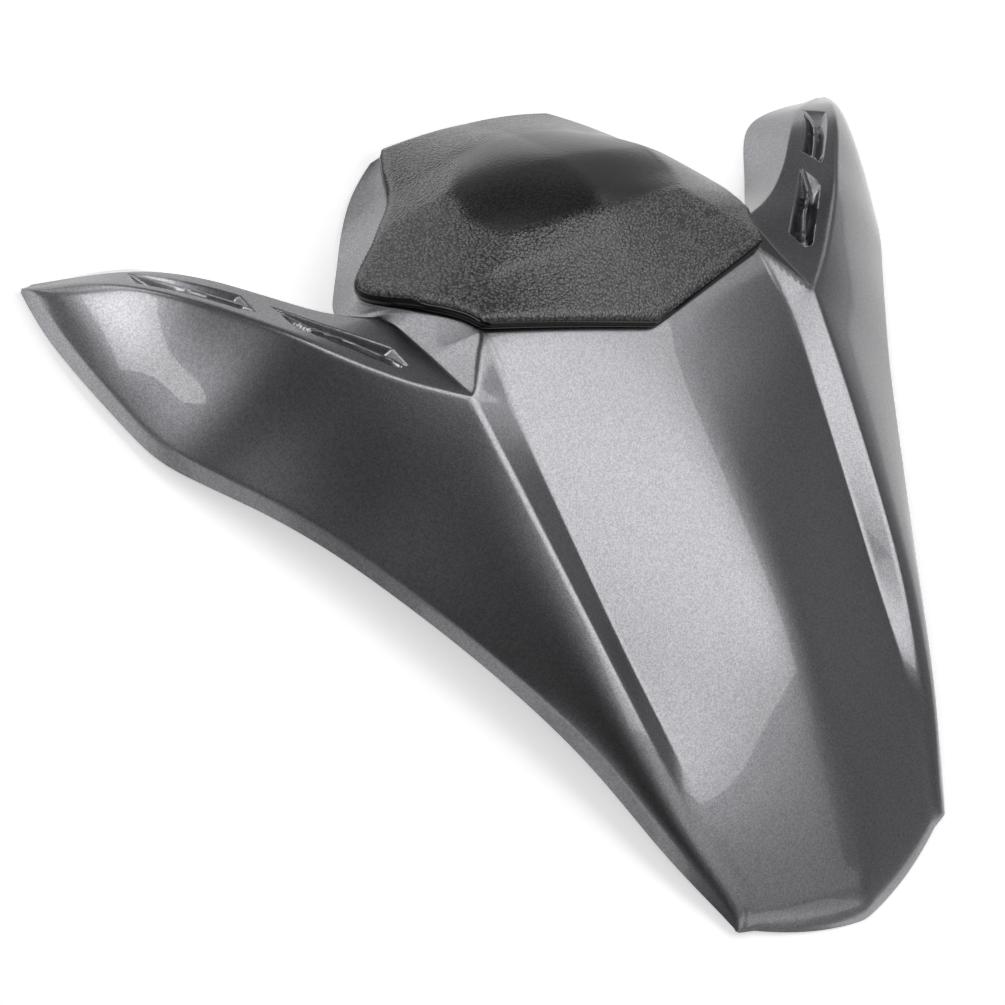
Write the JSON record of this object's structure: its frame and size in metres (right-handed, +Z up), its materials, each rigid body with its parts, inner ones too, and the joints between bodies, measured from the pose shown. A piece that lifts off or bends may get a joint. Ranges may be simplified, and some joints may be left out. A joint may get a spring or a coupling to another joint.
{
  "type": "motorcycle seat cowl",
  "caption": "Painted motorcycle seat cowl with two forward wings, vented tops, a grained pad on its hump and a latch carrier inside.",
  "frame": {"origin": "middle of the bounding box at the height of the lower rim, on which the cowl stands", "axes": "+X to the right wing, +Y to the front of the bike (the wing tips and the pad's front), +Z up; the long tail points to -Y"},
  "size_m": [0.38, 0.3244, 0.0561],
  "materials": {
    "painted_moulding": "metallic silver-grey paint under clear coat, fine flake",
    "pad_base_moulding": "smooth black moulded edge",
    "pad_cover": "black grained seat cover with a smoother raised middle",
    "carrier_moulding": "black moulded plastic, lightly textured",
    "zinc_steel": "zinc-plated steel",
    "spring_steel": "dark spring steel",
    "screw_steel": "zinc-plated screw",
    "bumper_rubber": "matt black rubber"
  },
  "bodies": {
    "root": {"cowl_shell": "painted_moulding", "pad_base": "pad_base_moulding", "top_pad": "pad_cover", "pad_clip_1": "spring_steel", "pad_clip_2": "spring_steel", "pad_clip_3": "spring_steel", "pad_clip_4": "spring_steel", "carrier": "carrier_moulding", "latch_loop": "zinc_steel", "loop_plate": "zinc_steel", "loop_nut_1": "zinc_steel", "loop_nut_2": "zinc_steel", "carrier_screw_1": "screw_steel", "carrier_screw_2": "screw_steel", "carrier_screw_3": "screw_steel", "carrier_screw_4": "screw_steel", "bumper_1": "bumper_rubber", "bumper_2": "bumper_rubber", "bumper_3": "bumper_rubber", "bumper_4": "bumper_rubber"}
  },
  "joints": []
}
